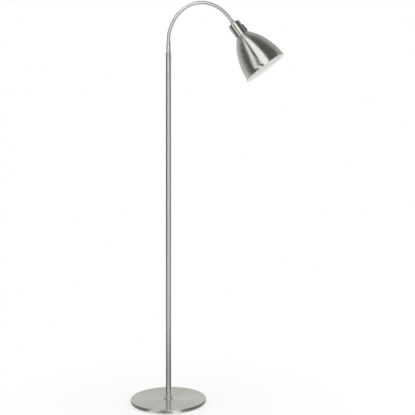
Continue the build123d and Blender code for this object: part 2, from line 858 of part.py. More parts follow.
def in_head(x, y, depth):
    """A point given in the head's frame: towards the neck's bend, sideways and down from the collar's top."""
    return head.origin + head.x_dir * x + head.y_dir * y + head.z_dir * depth


tab_end = tab_length - switch_floor
terminal_top = floor_top - terminal_height
core_routes = [
    [
        in_head(0, -core_spread, sheath_end),
        in_head(0, -core_spread, tab_places[0]),
        in_head(tab_end, -core_spread, tab_places[0]),
    ],
    [
        in_head(0, core_spread, sheath_end),
        in_head(0, core_spread, sheath_end + core_fan),
        in_head(terminal_reach, terminal_spread, switch_place),
        in_head(terminal_reach, terminal_spread, terminal_top),
    ],
    [
        in_head(tab_end, 0, tab_places[1]),
        in_head(terminal_reach, 0, tab_places[1]),
        in_head(terminal_reach, -terminal_spread, (tab_places[1] + terminal_top) / 2),
        in_head(terminal_reach, -terminal_spread, terminal_top),
    ],
]

with BuildPart() as head_cores:
    for route in core_routes:
        with BuildLine() as core_line:
            FilletPolyline(*route, radius=core_bend_radius)
        with BuildSketch(Plane(origin=route[0], z_dir=route[1] - route[0])):
            Circle(core_radius)
        sweep(path=core_line.line)
head_cores.part.label = "head_cores"
export_step(head_cores.part, "parts/head_cores.step")
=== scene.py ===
"""Gooseneck reading floor lamp: the looks of its pieces, set on the fixed frame of its CAD model.

Metres. Z points up, the origin is the centre of the base's underside, and the neck bends towards +X.
"""

import math
from collections import namedtuple

import bmesh
import bpy
import numpy as np
from bpy.props import FloatProperty, FloatVectorProperty, IntProperty, PointerProperty
from bpy.types import Operator, Panel, PropertyGroup
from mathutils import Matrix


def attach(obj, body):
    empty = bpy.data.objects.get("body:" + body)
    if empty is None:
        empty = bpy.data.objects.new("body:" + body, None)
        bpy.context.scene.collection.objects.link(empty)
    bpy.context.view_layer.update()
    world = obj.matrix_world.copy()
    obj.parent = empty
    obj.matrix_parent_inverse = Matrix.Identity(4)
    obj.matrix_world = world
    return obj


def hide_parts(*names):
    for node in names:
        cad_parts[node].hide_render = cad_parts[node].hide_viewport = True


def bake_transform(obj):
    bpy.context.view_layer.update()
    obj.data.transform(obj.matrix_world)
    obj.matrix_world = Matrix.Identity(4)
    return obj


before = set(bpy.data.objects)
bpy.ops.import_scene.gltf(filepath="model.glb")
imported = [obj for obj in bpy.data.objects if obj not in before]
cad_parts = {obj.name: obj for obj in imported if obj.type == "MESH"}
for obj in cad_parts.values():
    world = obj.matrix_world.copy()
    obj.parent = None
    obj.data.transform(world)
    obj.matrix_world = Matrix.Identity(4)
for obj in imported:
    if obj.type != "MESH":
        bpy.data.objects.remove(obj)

bl_info = {
    "name": "Gooseneck Floor Lamp",
    "version": (1, 0, 0),
    "blender": (4, 5, 0),
    "location": "3D View > Sidebar > Lamp",
    "description": "Builds the visible pieces of a gooseneck reading lamp on its CAD frame",
    "category": "Add Mesh",
}

mm = 0.001
full_turn = 2 * math.pi
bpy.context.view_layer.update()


# ---------------------------------------------------------------- sizes and colours

def length(name, description, default):
    return FloatProperty(
        name=name, description=description, default=default * mm, min=0,
        unit="LENGTH", subtype="DISTANCE",
    )


def colour(name, description, default):
    return FloatVectorProperty(
        name=name, description=description, default=default, min=0, max=1, size=3, subtype="COLOR"
    )


class BaseSizes(PropertyGroup):
    radius: length("Radius", "Outside of the base", 125)
    height: length("Height", "Floor to the top of the base", 13)
    edge: length("Edge rounding", "Rounding of the base's top edge", 2)
    wall: length("Sheet", "Thickness of the base's cover", 0.8)
    lift: length("Lift", "Floor to the cover's lower edge", 1)
    ring_radius: length("Ring radius", "Outside of the ring at the pole's foot", 15)
    ring_height: length("Ring height", "Height of the ring at the pole's foot", 4)


class PoleSizes(PropertyGroup):
    radius: length("Radius", "Outside of the pole", 9)
    wall: length("Wall", "Thickness of the pole's tubes", 1)
    section: length("Section", "Length of one screwed section", 381)
    sections: IntProperty(name="Sections", description="Number of screwed sections", default=3, min=1)
    cap_rim: length("Cap rim", "Straight part of the top cap", 1.5)
    cap_shoulder: length("Cap shoulder", "Rounded part of the top cap", 8.5)


class NeckSizes(PropertyGroup):
    radius: length("Radius", "Outside of the neck's winding", 5.75)
    bore: length("Bore", "Radius of the neck's bore", 3)
    pitch: length("Pitch", "One turn of the winding", 2.25)
    groove: length("Groove", "Depth between two turns of the winding", 0.5)
    link: length("Bend spacing", "Neck between two bending points", 27)
    stub: length("Lower stub", "Neck from the lower ferrule to its first bending point", 14)
    end_stub: length("Upper stub", "Neck from its last bending point to the upper ferrule", 12)
    grip: length("Lower grip", "Neck inside the lower ferrule", 18)
    end_grip: length("Upper grip", "Neck inside the upper ferrule", 7.3)
    foot_radius: length("Lower ferrule foot", "Radius of the lower ferrule at the pole", 7)
    foot_height: length("Lower ferrule height", "Height of the lower ferrule's socket", 27)
    sleeve_radius: length("Sleeve radius", "Straight part of the lower ferrule", 7.3)
    sleeve_straight: length("Sleeve straight", "Length of the lower ferrule's straight part", 24)
    sleeve_taper: length("Sleeve taper", "Length of the taper above it", 13)
    sleeve_mouth: length("Sleeve mouth", "Radius of the sleeve where the neck leaves it", 6.15)
    end_radius: length("Upper ferrule radius", "Radius of the ferrule on the collar", 6.5)
    end_height: length("Upper ferrule height", "Height of the ferrule on the collar", 9)


class HeadSizes(PropertyGroup):
    collar_radius: length("Collar radius", "Outside of the collar", 21.25)
    collar_length: length("Collar length", "Top of the collar to the shade", 49)
    collar_wall: length("Collar wall", "Thickness of the collar", 0.9)
    collar_edge: length("Collar edge", "Rounding of the collar's top edge", 5)
    switch_place: length("Switch place", "Top of the collar to the middle of the switch", 34.8)
    rocker_tilt: FloatProperty(
        name="Rocker tilt", description="Tilt of the rocker at rest",
        default=math.radians(8), subtype="ANGLE",
    )
    shade_wall: length("Shade sheet", "Thickness of the shade", 0.8)
    shade_top: length("Shade top", "Radius of the shade where it leaves the collar", 23.6)
    shade_length: length("Shade length", "Collar to the lip's edge", 134)
    lip_radius: length("Lip radius", "Radius of the shade's flared lip", 76.8)
    bulb_radius: length("Bulb radius", "Radius of the bulb's globe", 22.5)
    bulb_length: length("Bulb length", "Contact to the end of the globe", 78)


class LampColours(PropertyGroup):
    nickel: colour("Nickel", "Brushed metal of the lamp", (0.838, 0.838, 0.778))
    nickel_shadow: colour("Nickel grooves", "Metal in its deepest brushing", (0.758, 0.753, 0.697))
    wire: colour("Neck wire", "Brighter plating of the neck's winding", (0.98, 0.98, 0.965))
    enamel: colour("Enamel", "Inside of the shade", (0.94, 0.94, 0.935))
    switch_black: colour("Switch", "Rocker switch", (0.012, 0.012, 0.013))
    holder_black: colour("Lamp holder", "Lamp holder and shade ring", (0.03, 0.03, 0.032))
    opal: colour("Opal glass", "Bulb", (0.88, 0.875, 0.85))
    rubber: colour("Rubber", "Cord gland", (0.03, 0.03, 0.03))
    foam: colour("Foam", "Pad under the base", (0.05, 0.05, 0.052))
    floor: colour("Floor", "Floor of the studio", (0.93, 0.93, 0.93))


# ---------------------------------------------------------------- frames and the neck's line

Axes = namedtuple("Axes", "origin x y z")
upright = Axes(np.zeros(3), np.array([1.0, 0, 0]), np.array([0, 1.0, 0]), np.array([0, 0, 1.0]))
link_bends = np.radians([13.0, 10.5, 10.5, 12.5, 14.5, 15.5, 16.0, 15.5, 14.0, 12.0, 10.0])
# These lengths of the neck take their way from the head's side towards the pole's. It is no general
# cure: in other mixtures of angles a length can be misplaced from either side.
counted_from_head = (3, 5, 10)


def neck_heights(scene):
    """The pole's top, the cap's top and the lower ferrule's top."""
    base, pole, neck = scene.lamp_base, scene.lamp_pole, scene.lamp_neck
    pole_top = base.height + base.ring_height + pole.sections * pole.section
    cap_top = pole_top + pole.cap_rim + pole.cap_shoulder
    return pole_top, cap_top, cap_top + neck.foot_height


def neck_line(scene, way):
    """The neck's middle line at distances from the lower ferrule's top.

    It is straight up to the first bending point, then a chain of arcs, each of one link's length and
    bend, then straight again. A point inside an arc lies one chord from the arc's start: the chord is
    the arc's length times the sine of half its turn over half its turn, and leans by half its turn.
    """
    neck = scene.lamp_neck
    knots = neck.stub + neck.link * np.arange(len(link_bends) + 1)
    starts = np.concatenate([[-1.0], knots])
    bends = np.concatenate([[0.0], link_bends / neck.link, [0.0]])
    lean = np.concatenate([[0.0, 0.0], np.cumsum(link_bends)])
    places = np.zeros((len(starts), 2))
    places[0] = (0, -1.0)

    def step(number, distance):
        half = bends[number] * distance / 2
        chord = distance * np.sinc(half / math.pi)
        turn = lean[number] + half
        return np.stack([chord * np.sin(turn), chord * np.cos(turn)], axis=-1)

    for number in range(1, len(starts)):
        places[number] = places[number - 1] + step(number - 1, starts[number] - starts[number - 1])
    way = np.atleast_1d(np.asarray(way, float))
    number = np.clip(np.searchsorted(starts, way, side="right") - 1, 0, len(starts) - 1)
    place = places[number] + step(number, way - starts[number])
    turn = lean[number] + bends[number] * (way - starts[number])
    zero = np.zeros(len(way))
    foot = np.array([0, 0, neck_heights(scene)[2]])
    origin = np.stack([place[:, 0], zero, place[:, 1]], axis=1) + foot
    ahead = np.stack([np.sin(turn), zero, np.cos(turn)], axis=1)
    inside = np.stack([np.cos(turn), zero, -np.sin(turn)], axis=1)
    return origin, inside, ahead


def head_axes(scene):
    """The head's frame: from the collar's top, Z points to the mouth and X away from the bend."""
    neck = scene.lamp_neck
    whole = neck.stub + len(link_bends) * neck.link + neck.end_stub + neck.end_height
    origin, inside, ahead = neck_line(scene, whole)
    return Axes(origin[0], -inside[0], np.array([0, -1.0, 0]), ahead[0])


# ---------------------------------------------------------------- surfaces

Shell = namedtuple("Shell", "points faces uv turning finish")


def rounded(corners, steps=6):
    """An outline through corners of (radius, height, rounding). Each rounding is an arc that touches
    both sides of its corner, swept evenly from one touching point to the other, and a short straight
    piece before and after it keeps the flat sides flat."""
    corners = np.asarray(corners, float)
    outline = []
    for before, corner, after in zip(np.roll(corners, 1, 0), corners, np.roll(corners, -1, 0)):
        here, rounding = corner[:2], corner[2]
        if rounding == 0:
            outline.append(here[None])
            continue
        back = (before[:2] - here) / np.linalg.norm(before[:2] - here)
        on = (after[:2] - here) / np.linalg.norm(after[:2] - here)
        half = math.acos(np.clip(back @ on, -1, 1)) / 2
        reach = rounding / math.tan(half)
        centre = here + (back + on) / np.linalg.norm(back + on) * rounding / math.sin(half)
        first, last = here + back * reach - centre, here + on * reach - centre
        sweep = math.pi - 2 * half
        share = np.linspace(0, 1, steps)[:, None]
        arc = np.sin((1 - share) * sweep) * first + np.sin(share * sweep) * last
        arc = centre + arc / math.sin(sweep)
        guard = 0.25 * rounding
        outline += [(here + back * (reach + guard))[None], arc, (here + on * (reach + guard))[None]]
    return np.concatenate(outline)


def skin(place, run, turn, ring=True, finish=None):
    """The shell of a grid of points, rows by columns. The columns close on themselves, and the rows
    too where it is a ring. Its map runs along the rows by distance and round the columns by turn."""
    rows, columns = place.shape[:2]
    last = rows if ring else rows - 1
    row, column = np.indices((last, columns)).reshape(2, -1)
    up, right = (row + 1) % rows, (column + 1) % columns
    faces = np.stack([
        row * columns + column, row * columns + right, up * columns + right, up * columns + column
    ], 1)
    u = np.stack([run[row], run[row], run[row + 1], run[row + 1]], 1)
    v = np.stack([turn[column], turn[column + 1], turn[column + 1], turn[column]], 1)
    angle = full_turn * turn[:columns]
    turning = np.empty(place.shape)
    turning[..., 0], turning[..., 1], turning[..., 2] = run[:rows, None], np.cos(angle), np.sin(angle)
    marks = np.zeros(rows, int) if finish is None else finish
    uv = np.stack([u, v], -1)
    return Shell(place.reshape(-1, 3), faces, uv, turning.reshape(-1, 3), marks[row])


def run_along(outline, ring=True):
    """Distance travelled along an outline at each of its points, and back at its start."""
    ends = np.concatenate([outline, outline[:1]]) if ring else outline
    return np.concatenate([[0.0], np.cumsum(np.linalg.norm(np.diff(ends, axis=0), axis=1))])


def turned(axes, outline, columns, ring=True, finish=None, flutes=None):
    """A turned shell: an outline of (radius, height) carried round an axis. A point is the origin plus
    its radius times (cosine of the turn along X and sine along Y) plus its height along Z. Columns are
    a number of even steps, or the turns themselves from one closing point to the next. Flutes are
    (number, depth, from radius): the radius dips by a cosine bump at each."""
    turn = np.arange(columns + 1) / columns if np.isscalar(columns) else columns
    angle = full_turn * turn[:-1]
    radius = np.repeat(outline[:, :1], len(angle), axis=1)
    if flutes:
        number, depth, beyond = flutes
        radius = radius - (radius > beyond) * depth * np.clip(np.cos(number * angle), 0, 1)[None] ** 2
    place = (
        axes.origin
        + (radius * np.cos(angle))[..., None] * axes.x
        + (radius * np.sin(angle))[..., None] * axes.y
        + outline[:, 1, None, None] * axes.z
    )
    return skin(place, run_along(outline, ring), turn, ring, finish)


def outwards(shell):
    """The shell with its faces turned outwards: the volume they enclose, summed over their triangles as
    a corner dotted with the cross product of the other two, is above zero."""
    a, b, c, d = (shell.points[shell.faces[:, corner]] for corner in range(4))
    volume = (a * np.cross(b, c)).sum() + (a * np.cross(c, d)).sum()
    if volume > 0:
        return shell
    return shell._replace(faces=shell.faces[:, ::-1], uv=shell.uv[:, ::-1])


def piece(name, shells, body, finishes, nodes=(), merge=False, sharp=32):
    """One named object made of closed shells, which rides on a body and stands for CAD nodes."""
    shells = [outwards(shell) for shell in shells]
    counts = np.cumsum([0] + [len(shell.points) for shell in shells])
    mesh = bpy.data.meshes.new(name)
    points = np.concatenate([shell.points for shell in shells])
    faces = np.concatenate([shell.faces + count for shell, count in zip(shells, counts)])
    mesh.from_pydata(points.tolist(), [], faces.tolist())
    uv = np.concatenate([shell.uv for shell in shells]).astype(np.float32)
    mesh.uv_layers.new(name="turning").data.foreach_set("uv", uv.ravel())
    turning = np.concatenate([shell.turning for shell in shells]).astype(np.float32)
    place = mesh.attributes.new("turning_place", "FLOAT_VECTOR", "POINT")
    place.data.foreach_set("vector", turning.ravel())
    for look in finishes:
        mesh.materials.append(look)
    marks = np.concatenate([shell.finish for shell in shells]).astype(np.int32)
    mesh.polygons.foreach_set("material_index", marks)
    if merge:
        work = bmesh.new()
        work.from_mesh(mesh)
        bmesh.ops.remove_doubles(work, verts=work.verts, dist=1e-7)
        bmesh.ops.recalc_face_normals(work, faces=work.faces)
        work.to_mesh(mesh)
        work.free()
    mesh.update()
    mesh.polygons.foreach_set("use_smooth", np.ones(len(mesh.polygons), bool))
    mesh.set_sharp_from_angle(angle=math.radians(sharp))
    made = bpy.data.objects.new(name, mesh)
    bpy.context.scene.collection.objects.link(made)
    if body:
        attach(made, body)
    if nodes:
        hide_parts(*nodes)
    return made


def turned_piece(name, axes, outline, columns, body, look, replaced):
    """One named object that is a single turned shell and stands for one CAD node."""
    return piece(name, [turned(axes, outline, columns)], body, [look], [replaced])


# ---------------------------------------------------------------- finishes

def material(name):
    """A new material, its node tree and its shader."""
    made = bpy.data.materials.new(name)
    made.use_nodes = True
    return made, made.node_tree, made.node_tree.nodes["Principled BSDF"]


def feed(tree, made, inputs):
    """Sets a node's inputs. Each is a value, or the output of another node."""
    for key, value in inputs.items():
        if isinstance(value, bpy.types.NodeSocket):
            tree.links.new(value, made.inputs[key])
        else:
            made.inputs[key].default_value = value


def node(tree, kind, inputs=None, **settings):
    """A new node with its settings and its inputs."""
    made = tree.nodes.new(kind)
    for key, value in settings.items():
        setattr(made, key, value)
    feed(tree, made, inputs or {})
    return made


def grain(tree, vector, scale, detail=3.0, stretch=(1.0, 1.0, 1.0)):
    """Noise over a vector that is stretched first, as a number about one half."""
    spread = node(tree, "ShaderNodeMapping", {"Vector": vector, "Scale": stretch})
    inputs = {"Vector": spread.outputs["Vector"], "Scale": scale, "Detail": detail}
    return node(tree, "ShaderNodeTexNoise", inputs).outputs["Fac"]


def maths(tree, operation, *values, clamp=False):
    """The outcome of one operation on numbers, each a value or the output of another node."""
    made = node(tree, "ShaderNodeMath", dict(enumerate(values)), operation=operation, use_clamp=clamp)
    return made.outputs[0]


def ranged(tree, value, taken=(0, 1), given=(0, 1)):
    """A number moved evenly from the range taken to the range given, and kept within it."""
    inputs = {"Value": value}
    inputs.update(zip(("From Min", "From Max", "To Min", "To Max"), (*taken, *given)))
    return node(tree, "ShaderNodeMapRange", inputs).outputs["Result"]


def span(tree, value, low, high):
    """A number about one half, taken from 0.3 to 0.7 and spread between low and high."""
    return ranged(tree, value, (0.3, 0.7), (low, high))


def blend_colours(tree, share, first, second):
    """A mix of two colours, each a value or the output of another node, by a share from 0 to 1."""
    mixed = node(tree, "ShaderNodeMix", data_type="RGBA")
    for socket, value in zip([s for s in mixed.inputs if s.type == "RGBA"], (first, second)):
        if isinstance(value, bpy.types.NodeSocket):
            tree.links.new(value, socket)
        else:
            socket.default_value = (*value, 1)
    feed(tree, mixed, {"Factor": share})
    return [s for s in mixed.outputs if s.type == "RGBA"][0]


def relief(tree, height, strength, distance):
    """The normal of a surface that a height raises."""
    inputs = {"Height": height, "Strength": strength, "Distance": distance}
    return node(tree, "ShaderNodeBump", inputs).outputs["Normal"]


def plainly_seen(tree):
    """One for a ray from the camera, from gloss or through glass, and zero for light that spreads."""
    rays = node(tree, "ShaderNodeLightPath").outputs
    seen = rays["Is Camera Ray"]
    for ray in ("Is Glossy Ray", "Is Transmission Ray"):
        seen = maths(tree, "MAXIMUM", seen, rays[ray])
    return seen


def brushed_nickel(name, colours, roughness=0.25, lines=1.0, streaks=0.5):
    """Turned and brushed nickel: fine scratches round the axis, broad faint bands, and a highlight
    that the scratches draw out along the outline."""
    made, tree, shader = material(name)
    place = node(tree, "ShaderNodeAttribute", attribute_name="turning_place").outputs["Vector"]
    scratches = grain(tree, place, 5.0, 2.0, (520 * lines, 0.8, 0.8))
    bands = grain(tree, place, 5.0, 1.0, (26 * lines, 0.25, 0.25))
    mottle = grain(tree, place, 4.0, 2.0, (10, 1.2, 1.2))
    both = node(
        tree, "ShaderNodeMix", {"Factor": streaks, "A": scratches, "B": bands}, data_type="FLOAT"
    ).outputs["Result"]
    tint = blend_colours(tree, span(tree, both, 0.0, 1.0), colours.nickel_shadow, colours.nickel)
    tangent = node(tree, "ShaderNodeTangent", direction_type="UV_MAP", uv_map="turning")
    feed(tree, shader, {
        "Base Color": tint,
        "Roughness": span(tree, mottle, roughness - 0.015, roughness + 0.02),
        "Normal": relief(tree, scratches, 0.05, 0.1 * mm),
        "Tangent": tangent.outputs["Tangent"],
        "Metallic": 1.0,
        "Anisotropic": 0.92,
    })
    return made


def wound_nickel(name, colours):
    """The neck's winding: satin wire, with painted shade darkening it between its turns."""
    made, tree, shader = material(name)
    place = node(tree, "ShaderNodeAttribute", attribute_name="turning_place").outputs["Vector"]
    depth = node(tree, "ShaderNodeAttribute", attribute_name="groove_depth").outputs["Fac"]
    wear = grain(tree, place, 5.0, 2.0, (60, 1.5, 1.5))
    scratches = grain(tree, place, 5.0, 2.0, (900, 4, 4))
    # painted shade: the wire's colour falls to 0.85 of itself deep in the grooves between its turns and
    # in the bore
    tint = blend_colours(tree, depth, colours.wire, tuple(0.85 * c for c in colours.wire))
    worn = span(tree, wear, 0.18, 0.26)
    feed(tree, shader, {
        "Base Color": tint,
        "Roughness": maths(tree, "MULTIPLY_ADD", worn, depth, worn),
        "Normal": relief(tree, scratches, 0.1, 0.1 * mm),
        "Metallic": 1.0,
    })
    return made


def grained(name, light, dark, scale, roughness, metallic=0.0, bump=0.2, coat=0.0, cells=False):
    """A cast, moulded, plated or foamed surface: two close tones and a fine relief."""
    made, tree, shader = material(name)
    place = node(tree, "ShaderNodeTexCoord").outputs["Object"]
    if cells:
        cell = node(tree, "ShaderNodeTexVoronoi", {"Vector": place, "Scale": scale})
        height = cell.outputs["Distance"]
    else:
        height = grain(tree, place, scale, 4.0)
    uneven = grain(tree, place, scale / 6, 2.0)
    feed(tree, shader, {
        "Base Color": blend_colours(tree, span(tree, height, 0, 1), dark, light),
        "Roughness": span(tree, uneven, roughness * 0.85, roughness * 1.15),
        "Normal": relief(tree, height, bump, 0.2 * mm),
        "Metallic": metallic,
        "Coat Weight": coat,
        "Coat Roughness": 0.08,
    })
    return made


def opal_glass(name, colours):
    """Opal glass: a milky body with a smooth skin and the faintest cloud in it."""
    made, tree, shader = material(name)
    place = node(tree, "ShaderNodeTexCoord").outputs["Object"]
    cloud = grain(tree, place, 40.0, 3.0)
    dim = tuple(0.95 * c for c in colours.opal)
    feed(tree, shader, {
        "Base Color": blend_colours(tree, span(tree, cloud, 0, 1), dim, colours.opal),
        "Roughness": span(tree, cloud, 0.16, 0.24),
        "Subsurface Weight": 0.35,
        "Subsurface Scale": 4 * mm,
        "Coat Weight": 0.6,
        "Coat Roughness": 0.05,
    })
    return made


def tones(colour_now, share=0.75):
    """A colour and its darker tone."""
    return tuple(colour_now), tuple(share * c for c in colour_now)


def finish(scene, name):
    """The lamp's finish of this name, made the first time that it is asked for."""
    if name in bpy.data.materials:
        return bpy.data.materials[name]
    c = scene.lamp_colours

    def grains(light, dark, scale, roughness, *more, **options):
        return lambda: grained(name, light, dark, scale, roughness, *more, **options)

    recipes = {
        "brushed nickel": lambda: brushed_nickel(name, c),
        "brushed nickel shade": lambda: brushed_nickel(name, c, roughness=0.24, lines=0.8, streaks=0.4),
        "wound nickel": lambda: wound_nickel(name, c),
        "opal glass": lambda: opal_glass(name, c),
        "white enamel": grains(*tones(c.enamel, 0.975), 900, 0.30, bump=0.03, coat=0.3),
        "switch plastic": grains(*tones(c.switch_black, 0.6), 1500, 0.2, bump=0.03, coat=0.5),
        "holder plastic": grains(*tones(c.holder_black), 1200, 0.42, bump=0.08),
        "gland rubber": grains(*tones(c.rubber), 1500, 0.7, bump=0.15),
        "foam": grains(*tones(c.foam, 0.4), 900, 0.95, bump=0.8, cells=True),
        "cast weight": grains((0.19, 0.19, 0.2), (0.11, 0.11, 0.115), 260, 0.7, 0.6, 0.5),
        "zinc": grains((0.62, 0.63, 0.65), (0.42, 0.43, 0.46), 420, 0.38, 1.0, 0.08, cells=True),
        "brass": grains((0.83, 0.62, 0.27), (0.66, 0.47, 0.2), 600, 0.3, 1.0, 0.06),
        "cap metal": grains((0.8, 0.8, 0.81), (0.62, 0.62, 0.64), 700, 0.28, 1.0, 0.06),
        "lead sheath": grains((0.045, 0.045, 0.046), (0.025, 0.025, 0.026), 900, 0.6, bump=0.1),
        "core insulation": grains((0.3, 0.16, 0.08), (0.22, 0.11, 0.05), 1200, 0.5, bump=0.05),
    }
    return recipes[name]()


# ---------------------------------------------------------------- operators

class LAMP_OT_base(Operator):
    """Spun cover of the base with its rolled lower edge, and the ring at the pole's foot"""

    bl_idname = "lamp.base"
    bl_label = "Base"

    def execute(self, context):
        scene, base, pole = context.scene, context.scene.lamp_base, context.scene.lamp_pole
        nickel = finish(scene, "brushed nickel")
        top, bore, inner = base.height, 5 * mm, base.radius - base.wall
        cover = rounded([
            (bore, top - base.wall, 0),
            (bore, top, 0.2 * mm),
            (base.radius, top, base.edge),
            (base.radius, base.lift, 0.35 * mm),
            (inner, base.lift, 0.35 * mm),
            (inner, top - base.wall, base.edge - base.wall),
        ], steps=8)
        turned_piece("base_shell", upright, cover, 240, "stand", nickel, "base_cover")
        ring_top = top + base.ring_height
        plug, plug_top = pole.radius - pole.wall - 0.1 * mm, ring_top + 22 * mm
        ring = rounded([
            (bore, top, 0),
            (base.ring_radius, top, 0.2 * mm),
            (base.ring_radius, ring_top, 1.2 * mm),
            (plug, ring_top, 0),
            (plug, plug_top, 0.6 * mm),
            (bore, plug_top, 0),
        ])
        turned_piece("foot_ring", upright, ring, 96, "stand", nickel, "foot_flange")
        return {"FINISHED"}


class LAMP_OT_pole(Operator):
    """Drawn tubes of the pole with their broken end edges, and its rounded top cap"""

    bl_idname = "lamp.pole"
    bl_label = "Pole"

    def execute(self, context):
        scene = context.scene
        base, pole, neck = scene.lamp_base, scene.lamp_pole, scene.lamp_neck
        nickel = finish(scene, "brushed nickel")
        start = base.height + base.ring_height
        inner = pole.radius - pole.wall
        for number in range(pole.sections):
            low, high = start + number * pole.section, start + (number + 1) * pole.section
            tube = rounded([
                (inner, low, 0),
                (pole.radius, low, 0.2 * mm),
                (pole.radius, high, 0.2 * mm),
                (inner, high, 0),
            ], steps=4)
            name, replaced = f"pole_tube_{number + 1}", f"pole_section_{number + 1}"
            turned_piece(name, upright, tube, 72, "stand", nickel, replaced)
        pole_top, cap_top, ferrule_top = neck_heights(scene)
        sweep = np.linspace(0, math.pi / 2, 16)
        crown = np.stack([
            neck.foot_radius + (pole.radius - neck.foot_radius) * np.cos(sweep),
            pole_top + pole.cap_rim + pole.cap_shoulder * np.sin(sweep),
        ], axis=1)
        thread, bore, plug = 5.1 * mm, 4 * mm, inner - 0.1 * mm
        thread_end, plug_end = cap_top - 14 * mm, pole_top - 22 * mm
        cap = np.concatenate([
            [(pole.radius, pole_top), (pole.radius, pole_top + 0.5 * pole.cap_rim)],
            crown,
            [(thread, cap_top), (thread, thread_end), (bore, thread_end)],
            [(bore, plug_end), (plug, plug_end), (plug, pole_top)],
        ])
        turned_piece("pole_cap", upright, cap, 72, "stand", nickel, "pole_top_cap")
        stub, hole, socket = 5 * mm, 3.3 * mm, neck.radius + 0.1 * mm
        stub_end, socket_end, edge = cap_top - 12 * mm, ferrule_top - neck.grip, 0.3 * mm
        taper = np.linspace(0, 1, 12)[:, None]
        slope = taper**2 * (3 - 2 * taper)
        low, high = cap_top + neck.sleeve_straight, cap_top + neck.sleeve_straight + neck.sleeve_taper
        sleeve = np.hstack([
            neck.sleeve_radius + (neck.sleeve_mouth - neck.sleeve_radius) * slope,
            low + (high - low) * taper,
        ])
        ferrule = np.concatenate([
            [(hole, stub_end), (stub - edge, stub_end), (stub, stub_end + edge), (stub, cap_top)],
            [(neck.sleeve_radius - edge, cap_top), (neck.sleeve_radius, cap_top + edge)],
            sleeve,
            [(socket, high), (socket, socket_end), (hole, socket_end)],
        ])
        wound = finish(scene, "wound nickel")
        turned_piece("neck_foot_ferrule", upright, ferrule, 72, "stand", wound, "neck_lower_ferrule")
        return {"FINISHED"}


def winding(scene, start, end, columns=40):
    """A length of the wound neck as a closed wall.

    A point of the outside is the middle line at its distance plus the radius round it, less the groove.
    The groove's depth depends on the distance over the pitch less the turn, so that it winds round as
    one wire does. The inside is the plain bore, and the two ends are flat rings.
    """
    neck = scene.lamp_neck
    rows_a_turn = 12
    flat = 0.68  # the part of a turn's width that keeps the full radius
    rows = int(round((end - start) / neck.pitch * rows_a_turn)) + 1
    outer, inner = np.linspace(start, end, rows), np.linspace(end, start, rows // 4)
    turn = np.arange(columns + 1) / columns
    phase = (outer[:, None] / neck.pitch - turn[None, :columns]) % 1
    edge = np.abs(phase - 0.5) * 2
    hollow = np.clip((edge - flat) / (1 - flat), 0, 1) ** 1.4
    away = np.concatenate([
        neck.radius - neck.groove * hollow, np.full((len(inner), columns), neck.bore)
    ])
    origin, inside, ahead = neck_line(scene, np.concatenate([outer, inner]))
    angle = full_turn * turn[:columns]
    side = np.cross(ahead, inside)
    place = (
        origin[:, None]
        + (away * np.cos(angle))[..., None] * inside[:, None]
        + (away * np.sin(angle))[..., None] * side[:, None]
    )
    way = np.concatenate([outer, inner, outer[:1]])
    shell = skin(place, way, turn)
    depth = np.concatenate([hollow, np.ones((len(inner), columns))])
    return shell, depth.ravel()


class LAMP_OT_neck(Operator):
    """Wound flexible neck in lengths that meet halfway between its bends, and its end ferrule"""

    bl_idname = "lamp.neck"
    bl_label = "Neck"

    def execute(self, context):
        scene, neck = context.scene, context.scene.lamp_neck
        wound = finish(scene, "wound nickel")
        bends = len(link_bends) + 1
        for number in range(1, bends + 1):
            middle = neck.stub + (number - 1) * neck.link
            start = -neck.grip if number == 1 else middle - neck.link / 2
            end = middle + (neck.end_stub + neck.end_grip if number == bends else neck.link / 2)
            shell, depth = winding(scene, start, end)
            nodes = [f"neck_link_{link:02d}" for link in range(number - 1, number + (number == bends))]
            name = f"neck_winding_{number:02d}"
            made = piece(name, [shell], None, [wound], nodes, sharp=80)
            # the groove's depth, which the wound finish also uses to darken the wire with painted shade
            grooves = made.data.attributes.new("groove_depth", "FLOAT", "POINT")
            grooves.data.foreach_set("value", depth.astype(np.float32))
            half = min(neck.link / 2, neck.end_stub) if number == bends else neck.link / 2
            ends = [tuple(point) for point in neck_line(scene, [middle - half, middle + half])[0]]
            way = slice(None, None, -1 if number in counted_from_head else 1)
            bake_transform(made)
        axes = head_axes(scene)
        nickel = finish(scene, "brushed nickel")
        stub, hole, socket = 5 * mm, 3.3 * mm, neck.radius + 0.1 * mm
        stub_end, socket_end = 11 * mm, -1.6 * mm
        ferrule = rounded([
            (socket, -neck.end_height, 0.1 * mm),
            (neck.end_radius, -neck.end_height, 0.6 * mm),
            (neck.end_radius, 0, 0.6 * mm),
            (stub, 0, 0),
            (stub, stub_end, 0.3 * mm),
            (hole, stub_end, 0),
            (hole, socket_end, 0),
            (socket, socket_end, 0),
        ])
        turned_piece("neck_head_ferrule", axes, ferrule, 72, "head", nickel, "neck_upper_ferrule")
        return {"FINISHED"}


